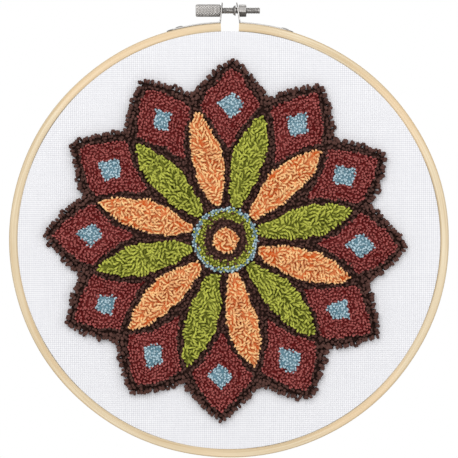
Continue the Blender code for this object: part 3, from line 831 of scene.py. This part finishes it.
def build_kites():
    """Twelve burgundy kites, each with its blue diamond."""
    sizes, yarn = settings().rosette, settings().yarn
    for k in range(PETAL_COUNT):
        rng = np.random.default_rng((yarn.seed, 1, k))
        kite = kite_outline(sizes, k)
        diamond = diamond_outline(sizes, k)
        number = f"{k + 1:02d}"
        field(f"kite_loops_{number}", f"kite_{number}", "burgundy", kite, [diamond], rng, yarn.pitch, 0.52)
        field(f"diamond_loops_{number}", f"diamond_{number}", "blue", diamond, [], rng, yarn.fine_pitch, 0.6,
              lean_share=0.3)


def build_petals():
    """Twelve petals of long loops, green and peach by turns."""
    sizes, yarn = settings().rosette, settings().yarn
    for k in range(PETAL_COUNT):
        rng = np.random.default_rng((yarn.seed, 2, k))
        field(f"petal_loops_{k + 1:02d}", f"petal_{k + 1:02d}", ("green", "peach")[k % 2],
              petal_outline(sizes, k), [], rng, yarn.high_pitch, 0.55, HIGH_PILE, 0.3)


def build_centre():
    """The high dot in the middle and the brown, green and blue rings of low loops.

    A seeded share of each ring's loops takes the colour of the ring inside it, as the rings mingle."""
    sizes, yarn = settings().rosette, settings().yarn
    rng = np.random.default_rng((yarn.seed, 3))
    field("centre_dot_loops", "centre_dot", "peach", circle(sizes.dot), [], rng, yarn.high_pitch, 0.55,
          HIGH_PILE, 0.25)
    rings = (("brown", sizes.dot, sizes.brown_ring, yarn.brown_pitch, yarn.brown_radius),
             ("green", sizes.brown_ring, sizes.green_ring, yarn.ring_pitch, yarn.radius),
             ("blue", sizes.green_ring, sizes.blue_ring, yarn.ring_pitch, yarn.radius))
    mixed = 0.25 * yarn.pitch
    rows_of = {colour: stitch_rows(circle(outer + mixed), [circle(inner - mixed)], pitch, 2, rng)
               for colour, inner, outer, pitch, radius in rings}
    for giver, taker, share in (("green", "brown", 0.12), ("blue", "green", 0.25)):
        given = rng.random(len(rows_of[giver][0])) < share
        rows_of[taker] = [np.concatenate((own, column[given]))
                          for own, column in zip(rows_of[taker], rows_of[giver])]
        rows_of[giver] = [column[~given] for column in rows_of[giver]]
    root, edge = 0.5 * LOW_PILE, 0.3 * MM
    turn = np.linspace(0, math.tau, 96, endpoint=False)
    for colour, inner, outer, pitch, radius in rings:
        punched.setdefault(colour, []).append(rows_of[colour][:2])
        points = np.empty((96, 6, 3))
        radii = np.array((inner, outer, outer, outer - edge, inner + edge, inner))
        points[..., :2] = polar(radii[None, :], turn[:, None])
        points[..., 2] = np.array((0.0, 0.0, 0.4, 1.0, 1.0, 0.4)) * root
        # The ring's roots take the yarn's painted shade all over (rise 0).
        roots = grid_part(in_rosette(points), wrap=(True, True), flip=True, uv_step=(MM, MM), rise=0.0)
        loops = low_loops(rows_of[colour], yarn, pitch, radius, LOW_PILE, rng, 0.3)
        make_piece(f"{colour}_ring_loops", [roots, loops], material_of(colour), f"ring_{colour}",
                   weld=False)


def build_ground():
    """The brown pile between the coloured fields and round the rim, in two pieces."""
    sizes, yarn = settings().rosette, settings().yarn
    rng = np.random.default_rng((yarn.seed, 4))
    star = star_outline(sizes)
    holes = [circle(sizes.blue_ring)]
    for k in range(PETAL_COUNT):
        holes += [kite_outline(sizes, k), petal_outline(sizes, k)]
    rows = stitch_rows(star, holes, yarn.brown_pitch, 3, rng)
    punched.setdefault("brown", []).append(rows[:2])
    at_rim = rows[4]
    rim = low_loops([column[at_rim] for column in rows], yarn, yarn.brown_pitch, yarn.rim_radius, LOW_PILE, rng,
                    0.65, 0.06, True)
    ground = low_loops([column[~at_rim] for column in rows], yarn, yarn.brown_pitch, yarn.brown_radius,
                       LOW_PILE, rng, 0.2)
    # Painted shadow: the ground loops between the fields are darkened a quarter, as they lie in the shade of the
    # petals and the rim.
    ground["rise"] *= 0.75
    cushion = bed(moved(star, -0.9 * MM), 0.9 * MM, 1.6 * MM, rng)
    for name, parts in (("brown_rim_loops", [rim]), ("brown_ground_loops", [ground, cushion])):
        make_piece(name, parts, material_of("brown"), "brown_ground", weld=False)


def build_back():
    """The rows of flat stitches behind the cloth, a piece for each colour."""
    if not punched:
        raise RuntimeError("The back is stitched after the front: build the yarn fields first")
    yarn = settings().yarn
    rng = np.random.default_rng((yarn.seed, 5))
    for colour, rows in punched.items():
        spots, along = (np.concatenate([column[::2] for column in columns]) for columns in zip(*rows))
        apart = yarn.brown_pitch if colour == "brown" else yarn.pitch
        strands = back_stitches(spots, along, 2.5 * apart, 1.2 * apart, rng)
        make_piece(f"back_stitches_{colour}", [strands], material_of(colour), None,
                   weld=False)


def build_cloth():
    """The cloth: a disc over the inner hoop that folds back between the hoops, as radius and depth over a walk.

    The walk goes from the middle out, over the fold, back along the wall, round its cut edge and home again on
    the inner side. The front ripples by a small sum of waves that grows towards the hoop."""
    rim_r = CLOTH_R + CLOTH_PRESS
    inner_r, inner_z = rim_r - CLOTH_THICK, FRONT - CLOTH_THICK
    bend = np.linspace(0, math.pi / 2, 6)
    outer_r = rim_r - CLOTH_FOLD + CLOTH_FOLD * np.sin(bend)
    outer_z = FRONT - CLOTH_FOLD + CLOTH_FOLD * np.cos(bend)
    radius = np.concatenate((np.linspace(0.0, rim_r - CLOTH_FOLD, 42)[:-1], outer_r, np.full(4, rim_r),
                             np.full(4, inner_r), np.linspace(inner_r, 0.0, 22)))
    wall = np.linspace(FRONT - 1.5 * CLOTH_FOLD, REAR, 4)
    depth = np.concatenate((np.full(41, FRONT), outer_z, wall, np.clip(wall[::-1], None, inner_z),
                            np.full(22, inner_z)))
    turn = np.linspace(0, math.tau, 240, endpoint=False)
    points = np.empty((len(turn), len(radius), 3))
    points[..., :2] = polar(radius[None], turn[:, None])
    on_disc = (radius / rim_r) ** 6 * (radius < rim_r - 1.5 * CLOTH_FOLD)
    waves = 0.05 * MM * (np.sin(23 * turn) + 0.7 * np.sin(41 * turn + 1.1) + 0.5 * np.sin(9 * turn + 2.0))
    points[..., 2] = depth[None] - np.abs(waves)[:, None] * on_disc[None]
    part = grid_part(in_hoop(ovalled(points)), wrap=(True, False), uv_step=(2 * MM, 2 * MM))
    made = make_piece("cloth_sheet", [part], cloth_material(), "cloth")


def rounded_section(inner_r, outer_r, rear, front, round_r):
    """A rounded rectangle (radius, depth) walked clockwise from its outer front corner.

    Each corner is a quarter circle; the third number is 0 on the corners and 1 along the flats, and the wood
    paints shade on the corners by it."""
    turns = np.linspace(0, math.pi / 2, 5) + np.arange(4)[:, None] * math.pi / 2
    middles = ((outer_r - round_r, front - round_r), (outer_r - round_r, rear + round_r),
               (inner_r + round_r, rear + round_r), (inner_r + round_r, front - round_r))
    arcs = [np.stack((r + round_r * np.sin(turn), z + round_r * np.cos(turn)), -1)
            for (r, z), turn in zip(middles, turns)]
    walks = []
    for arc, after in zip(arcs, arcs[1:] + arcs[:1]):
        flat = arc[-1] + (after[0] - arc[-1]) * np.array((0.12, 0.5, 0.88))[:, None]
        walks += [np.insert(arc, 2, 0.0, axis=1), np.insert(flat, 2, 1.0, axis=1)]
    return np.concatenate(walks)


def build_outer_hoop():
    """The split wooden ring: its rounded section carried from one end of the split round to the other."""
    hoop = settings().hoop
    section = rounded_section(HOOP_R - RING_THICK, HOOP_R, REAR, FRONT, hoop.edge_round)
    middle = HOOP_R - RING_THICK / 2
    start, end = math.asin(hoop.split_right / middle), math.tau + math.asin(hoop.split_left / middle)
    turn = np.linspace(start, end, 360)
    squeeze = np.concatenate(((0.0, 0.9, 0.97), np.ones(len(turn)), (0.97, 0.9, 0.0)))[:, None]
    turn = np.concatenate((turn[:1].repeat(3), turn, turn[-1:].repeat(3)))[:, None]
    waver = 0.08 * MM * (np.sin(5 * turn + 0.4) + 0.6 * np.sin(11 * turn))
    centre_z = (FRONT + REAR) / 2
    radius = middle + (section[:, 0] - middle)[None] * squeeze + waver * (squeeze > 0)
    depth = centre_z + (section[:, 1] - centre_z)[None] * squeeze
    points = np.concatenate((polar(radius, turn), depth[..., None]), -1)
    # The section's corners get the wood's painted edge shade.
    rise = np.broadcast_to(section[:, 2], depth.shape).ravel()
    part = grid_part(in_hoop(ovalled(points)), wrap=(False, True),
                     uv_step=(middle * (end - start) / 360, 0.7 * MM), rise=rise)
    make_piece("outer_hoop_ring", [part], wood_material("pale_wood_outer"), "outer_hoop", sharp=50)


def build_inner_hoop():
    """The plain wooden ring under the cloth: its rounded section carried all the way round."""
    section = rounded_section(INNER_HOOP_R - INNER_RING_THICK, INNER_HOOP_R, REAR, -inner_low.y,
                              settings().hoop.edge_round)
    turn = np.linspace(0, math.tau, 288, endpoint=False)
    depth = np.broadcast_to(section[:, 1], (len(turn), len(section)))
    points = np.concatenate((polar(section[None, :, 0], turn[:, None]), depth[..., None]), -1)
    # The section's corners get the wood's painted edge shade.
    rise = np.broadcast_to(section[:, 2], depth.shape).ravel()
    part = grid_part(in_hoop(ovalled(points)), wrap=(True, True),
                     uv_step=(INNER_HOOP_R * math.tau / 288, 0.7 * MM), rise=rise)
    make_piece("inner_hoop_ring", [part], wood_material("pale_wood_inner"), "inner_hoop")


def about_screw(radius, turn, x):
    """Points at a radius and turn about the screw's axis, at a place along it."""
    radius, turn, x = np.broadcast_arrays(radius, turn, x)
    return np.stack((x, -radius * np.cos(turn), SCREW_Z + radius * np.sin(turn)), -1)


def build_screw():
    """The thumb screw as radius over turn and length: a knurled head, then a threaded shank.

    The knurl is the lower of two crossing families of ridges, each the absolute sine of turn plus or minus
    length. The thread is a ridge that climbs one pitch a turn."""
    hoop = settings().hoop
    head_r, shank_r = (screw_high.z - screw_low.z) / 2, 1.6 * MM
    head_end, head_start, tip = screw_low.x, screw_low.x + HEAD_LENGTH, screw_high.x
    turn = np.linspace(0, math.tau, 96, endpoint=False)[:, None]
    head_x = np.linspace(head_end, head_start, 64)
    shank_x = np.linspace(head_start, tip, 150)[1:]
    x = np.concatenate(((head_end, head_end), head_x, (head_start,), shank_x, (tip,)))
    inset = np.minimum(head_x - head_end, head_start - head_x)
    chamfer = 0.5 * MM * np.clip(1 - inset / (0.5 * MM), 0, 1)
    full = chamfer == 0
    shift = math.pi * head_x / hoop.knurl_pitch
    ridges = np.minimum(np.abs(np.sin(8 * turn + shift)), np.abs(np.sin(8 * turn - shift)))
    head = head_r - chamfer - hoop.knurl_depth * full * (1 - np.clip(1.25 * ridges, 0, 1))
    coil = np.abs(((shank_x / hoop.screw_pitch - turn / math.tau) % 1.0) * 2 - 1)
    fade = np.clip((tip - shank_x) / MM, 0, 1) * np.clip((shank_x - head_start) / (0.4 * MM), 0, 1)
    point = 0.3 * MM * (1 - np.clip((tip - shank_x) / (0.4 * MM), 0, 1))
    shank = shank_r - hoop.screw_depth * coil * fade - point
    ones = np.ones((len(turn), 1))
    radius = np.concatenate((0.0 * ones, (head_r - 0.7 * MM) * ones, head, shank_r * ones, shank, 0.0 * ones), 1)
    # Painted shade on the screw: dark in the knurl's grooves and the thread's valleys, and the shank a little
    # darker all over.
    lit_share = np.concatenate((ones, ones, np.clip(2.0 * ridges - 0.15, 0, 1) * full + ~full, ones,
                           0.62 - 0.42 * coil * fade, 0.6 * ones), 1)
    part = grid_part(about_screw(radius, turn, x), wrap=(True, False), flip=True, rise=lit_share.ravel())
    make_piece("thumb_screw", [part], steel_material("plated_steel_screw"), "clamp_screw",
               "thumb_screw", sharp=60)


def build_nut():
    """The hexagonal nut: radius is the hexagon's, cut down by a cone at both faces, round a bore."""
    low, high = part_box("clamp_nut")
    turn = np.linspace(0, math.tau, 96, endpoint=False)[:, None]
    hexagon = 2.85 * MM / np.cos((turn + 0.24) % (math.pi / 3) - math.pi / 6)
    x = np.array((low.x, low.x + 0.02 * MM, low.x + 0.3 * MM, high.x - 0.3 * MM, high.x - 0.02 * MM, high.x,
                  high.x, low.x))
    outer = np.minimum(hexagon, np.array((2.9, 2.95, 3.4, 3.4, 2.95, 2.9)) * MM)
    radius = np.concatenate((outer, np.full((len(turn), 2), 1.75 * MM)), 1)
    # rise 0.3: the whole nut is painted darker as shade.
    part = grid_part(about_screw(radius, turn, x), wrap=(True, True), flip=True, rise=0.3)
    make_piece("hexagon_nut", [part], steel_material("plated_steel_nut"), "clamp_nut", sharp=25)


def lathed(profile, place, turn, count=40):
    """A solid of revolution, radius and height along an axis that stands on the ring at a clockwise turn."""
    around = np.linspace(0, math.tau, count, endpoint=False)[:, None]
    side, deep, up = profile[:, 0] * np.cos(around), profile[:, 0] * np.sin(around), profile[:, 1] + place
    return np.concatenate((turned(np.stack((side, up + 0 * side), -1), turn), deep[..., None]), -1)


def build_strap(side, sign, foot_x, top_x, far_turn, rivet_turn, steel, ear_lightness):
    """One bent strap and its rivet.

    The strip is a flat section carried along the ring from its far end and round a tight bend; its width
    closes to a half circle at the far end. The ear is a plate round the screw's hole: its outer edge is a half
    circle above the screw and straight below, its inner edge the hole."""
    hoop = settings().hoop
    thick, half = hoop.strap_thick, hoop.strap_half
    screw = np.array((sign * top_x, SCREW_Z - HOOP_CENTRE[2]))
    middle = HOOP_R + thick / 2 + 0.05 * MM
    bend = 0.9 * MM
    foot = ovalled((sign * foot_x, math.sqrt(middle ** 2 - foot_x ** 2)))
    lean = (screw - foot) / np.hypot(*(screw - foot))
    arc = np.linspace(math.radians(far_turn), math.asin((foot_x + bend) / middle), 28)
    on_ring = ovalled(polar(middle, sign * arc))
    corner = foot + lean * bend
    t = np.linspace(0, 1, 7)[1:, None]
    curve = (1 - t) ** 2 * on_ring[-1] + 2 * t * (1 - t) * foot + t ** 2 * corner
    path = np.concatenate((on_ring, curve))
    ahead = np.gradient(path, axis=0)
    ahead /= np.hypot(*ahead.T)[:, None]
    normal = np.stack((-ahead[:, 1], ahead[:, 0]), -1)
    walked_by = np.concatenate(([0.0], np.cumsum(np.hypot(*np.diff(path, axis=0).T))))
    wide = half * np.sqrt(np.clip(1 - np.clip(1 - walked_by / half, 0, 1) ** 2, 0.0, 1))
    out = np.array((-0.7, -0.4, 0.4, 0.7, 1, 1, 0.7, 0.4, -0.4, -0.7, -1, -1)) * thick / 2
    deep = np.array((-1, -1, -1, -1, -1, 1, 1, 1, 1, 1, 1, -1))
    soft = np.array((0, 0, 0, 0, 1, 1, 0, 0, 0, 0, 1, 1))
    points = np.empty((len(path) + 2, 12, 3))
    points[1:-1, :, :2] = path[:, None] + normal[:, None] * out[None, :, None]
    points[1:-1, :, 2] = np.maximum(wide[:, None] - STRAP_EDGE * soft, 0.0) * deep
    points[0] = np.append(path[0], 0.0)
    points[-1] = np.append(path[-1], 0.0)
    # The strip is painted darker as shade (rise 0.35).
    strip = grid_part(in_hoop(points), wrap=(False, True), flip=sign > 0, rise=0.35)

    around = np.linspace(0, math.tau, 64, endpoint=False)
    below = np.linalg.norm(corner - screw) - 0.02 * MM
    c, s = np.abs(np.cos(around)), np.sin(around)
    outer = np.where(s >= 0, half, np.minimum(half / np.maximum(c, 1e-6), below / np.maximum(-s, 1e-6)))
    hole = np.full(64, EAR_HOLE)
    reach = np.stack((hole, outer - STRAP_EDGE, outer, outer, outer - STRAP_EDGE, hole), -1)
    face = np.array((1, 1, 0.6, -0.6, -1, -1)) * thick / 2
    ear = np.empty((64, 6, 3))
    across = np.array((lean[1], -lean[0]))
    ear[..., :2] = screw + (reach * s[:, None])[..., None] * lean + face[None, :, None] * across
    ear[..., 2] = reach * np.cos(around)[:, None]
    # The ear's plate carries painted shade, set by the strap's last argument.
    plate = grid_part(in_hoop(ear), wrap=(True, True), flip=True, rise=ear_lightness)
    make_piece(f"strap_{side}_sheet", [strip, plate], steel, f"strap_{side}", sharp=40)

    dome = np.linspace(0, math.pi / 2, 8)
    head_r, head_h, edge = 2.1 * MM, 0.75 * MM, 0.15 * MM
    radius = np.concatenate(((0.0, 1.0 * MM, 1.0 * MM, head_r), head_r * np.cos(dome)))
    height = np.concatenate(((-1.5 * MM, -1.5 * MM, 0.0, 0.0), edge + (head_h - edge) * np.sin(dome)))
    head = lathed(np.stack((radius, height), -1), middle + thick / 2 + 0.02 * MM,
                  sign * math.radians(rivet_turn))
    # The rivet head is painted darker as shade (rise 0.4).
    rivet = grid_part(in_hoop(ovalled(head)), wrap=(True, False), rise=0.4)
    make_piece(f"rivet_{side}_head", [rivet], steel, f"rivet_{side}", sharp=50)


def build_straps():
    """The two steel straps with their rivets, and the coned collar on the right ear."""
    steel = steel_material("plated_steel_straps")
    # The last number sets each ear's painted shade: the left ear is painted darker than the right.
    build_strap("left", -1.0, 4.3 * MM, 3.45 * MM, 16.4, 12.9, steel, 0.4)
    build_strap("right", 1.0, 5.4 * MM, 4.7 * MM, 17.0, 14.8, steel, 0.6)
    low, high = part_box("ear_collar")
    wide = (high.z - low.z) / 2
    turn = np.linspace(0, math.tau, 48, endpoint=False)[:, None]
    x = np.array((low.x, low.x, high.x - 0.3 * MM, high.x, high.x))
    radius = np.array((EAR_HOLE, 0.72 * wide, wide, wide, EAR_HOLE))
    # The collar is painted darker all over as shade (rise 0.35).
    part = grid_part(about_screw(radius, turn, x), wrap=(True, True), flip=True, rise=0.35)
    make_piece("ear_collar_ring", [part], steel, "ear_collar", sharp=40)


def build_stage():
    """Camera straight in front with a long lens, a key light from the upper left, fills and a pale floor."""
    sizes = settings().stage
    scene = bpy.context.scene
    scene.view_settings.view_transform = "Standard"
    middle = Vector(HOOP_CENTRE)

    camera = bpy.data.cameras.new("camera")
    camera.sensor_width = 36.0
    camera.lens = 36.0 * sizes.camera_distance / sizes.frame_width
    camera.clip_end = 20.0
    seat = bpy.data.objects.new("camera", camera)
    seat.location = middle + Vector((sizes.camera_x, -sizes.camera_distance - FRONT, sizes.camera_rise))
    seat.rotation_euler = (math.pi / 2, 0.0, 0.0)
    scene.collection.objects.link(seat)
    scene.camera = seat

    for name, place, power in (("key_light", (-0.22, -1.1, 0.4), sizes.key_power),
                               ("fill_light", (0.8, -0.9, 0.1), sizes.fill_power),
                               ("back_light", (0.4, 0.9, 0.6), sizes.back_power)):
        light = bpy.data.lights.new(name, "AREA")
        light.shape = "SQUARE"
        light.size = 0.9
        light.energy = power
        lamp = bpy.data.objects.new(name, light)
        lamp.location = middle + Vector(place)
        lamp.rotation_euler = (-Vector(place)).to_track_quat("-Z", "Y").to_euler()
        scene.collection.objects.link(lamp)

    world = bpy.data.worlds.new("white_room")
    world.use_nodes = True
    scene.world = world
    tree = world.node_tree
    white = (1.0, 1.0, 1.0, 1.0)
    sky = tree.nodes["Background"]
    sky.inputs["Color"].default_value = white
    sky.inputs["Strength"].default_value = sizes.sky
    seen = add(tree, "ShaderNodeBackground", {"Color": white, "Strength": 1.0})
    ray = add(tree, "ShaderNodeLightPath").outputs["Is Camera Ray"]
    mix = add(tree, "ShaderNodeMixShader", {0: ray, 1: sky.outputs[0], 2: seen.outputs[0]})
    tree.links.new(mix.outputs[0], tree.nodes["World Output"].inputs["Surface"])

    floor_mesh = bpy.data.meshes.new("pale_floor")
    half, floor_z = 3.0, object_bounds()[0].z - sizes.floor_drop
    floor_mesh.from_pydata([(x * half, y * half, floor_z) for x, y in ((-1, -1), (1, -1), (1, 1), (-1, 1))],
                           [], [(0, 1, 2, 3)])
    made, tree, shader = new_material("pale_floor", Roughness=0.8, Base_Color=(0.86, 0.86, 0.86, 1.0),
                                      Emission_Color=white)
    glow = add(tree, "ShaderNodeLightPath").outputs["Is Camera Ray"]
    tree.links.new(sums(tree, "MULTIPLY", glow, sizes.floor_glow), shader.inputs["Emission Strength"])
    floor_mesh.materials.append(made)
    floor = bpy.data.objects.new("pale_floor", floor_mesh)
    scene.collection.objects.link(floor)
    floor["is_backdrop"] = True


# Operators and panel


class WALLPIECE_OT_hoops(bpy.types.Operator):
    """Build the two wooden hoops"""

    bl_idname = "wallpiece.hoops"
    bl_label = "Hoops"

    def execute(self, context):
        build_inner_hoop()
        build_outer_hoop()
        return {"FINISHED"}


class WALLPIECE_OT_cloth(bpy.types.Operator):
    """Stretch the woven cloth over the inner hoop"""

    bl_idname = "wallpiece.cloth"
    bl_label = "Cloth"

    def execute(self, context):
        build_cloth()
        return {"FINISHED"}


class WALLPIECE_OT_clamp(bpy.types.Operator):
    """Build the straps, rivets, thumb screw and nut"""

    bl_idname = "wallpiece.clamp"
    bl_label = "Clamp"

    def execute(self, context):
        build_straps()
        build_screw()
        build_nut()
        return {"FINISHED"}


class WALLPIECE_OT_ground(bpy.types.Operator):
    """Punch the brown pile between the fields and round the rim, the first of the yarn"""

    bl_idname = "wallpiece.ground"
    bl_label = "Brown ground"

    def execute(self, context):
        punched.clear()
        build_ground()
        return {"FINISHED"}


class WALLPIECE_OT_kites(bpy.types.Operator):
    """Punch the burgundy kites and their blue diamonds"""

    bl_idname = "wallpiece.kites"
    bl_label = "Kites"

    def execute(self, context):
        build_kites()
        return {"FINISHED"}


class WALLPIECE_OT_petals(bpy.types.Operator):
    """Punch the petals of high pile"""

    bl_idname = "wallpiece.petals"
    bl_label = "Petals"

    def execute(self, context):
        build_petals()
        return {"FINISHED"}


class WALLPIECE_OT_centre(bpy.types.Operator):
    """Punch the dot and the rings in the middle"""

    bl_idname = "wallpiece.centre"
    bl_label = "Centre"

    def execute(self, context):
        build_centre()
        return {"FINISHED"}


class WALLPIECE_OT_back(bpy.types.Operator):
    """Lay the flat stitches behind the cloth"""

    bl_idname = "wallpiece.back"
    bl_label = "Back stitches"

    def execute(self, context):
        build_back()
        return {"FINISHED"}


class WALLPIECE_OT_stage(bpy.types.Operator):
    """Set up the camera, the lights and the floor"""

    bl_idname = "wallpiece.stage"
    bl_label = "Stage"

    def execute(self, context):
        build_stage()
        return {"FINISHED"}


OPERATORS = (WALLPIECE_OT_hoops, WALLPIECE_OT_cloth, WALLPIECE_OT_clamp, WALLPIECE_OT_ground,
             WALLPIECE_OT_kites, WALLPIECE_OT_petals, WALLPIECE_OT_centre, WALLPIECE_OT_back,
             WALLPIECE_OT_stage)


class WALLPIECE_PT_panel(bpy.types.Panel):
    """The wall piece's steps and settings"""

    bl_label = "Punch needle wall piece"
    bl_idname = "WALLPIECE_PT_panel"
    bl_space_type = "VIEW_3D"
    bl_region_type = "UI"
    bl_category = "Punch needle"

    def draw(self, context):
        for operator in OPERATORS:
            self.layout.operator(operator.bl_idname)
        sizes = settings()
        for group in (sizes.rosette, sizes.yarn, sizes.colours, sizes.hoop, sizes.stage):
            box = self.layout.box()
            for name in group.__annotations__:
                box.prop(group, name)


CLASSES = (RosetteSizes, YarnSizes, Colours, HoopSizes, StageSizes, WallPieceSettings, *OPERATORS,
           WALLPIECE_PT_panel)


def register():
    """Makes the classes and the scene's settings known to Blender."""
    for made in CLASSES:
        bpy.utils.register_class(made)
    bpy.types.Scene.wall_piece = PointerProperty(type=WallPieceSettings)


def unregister():
    """Takes the settings and the classes away again."""
    del bpy.types.Scene.wall_piece
    for made in reversed(CLASSES):
        bpy.utils.unregister_class(made)


def main():
    """Builds the whole piece through its operators."""
    register()
    bpy.ops.wallpiece.hoops()
    bpy.ops.wallpiece.cloth()
    bpy.ops.wallpiece.clamp()
    bpy.ops.wallpiece.ground()
    bpy.ops.wallpiece.kites()
    bpy.ops.wallpiece.petals()
    bpy.ops.wallpiece.centre()
    bpy.ops.wallpiece.back()
    bpy.ops.wallpiece.stage()


if __name__ == "__main__":
    main()
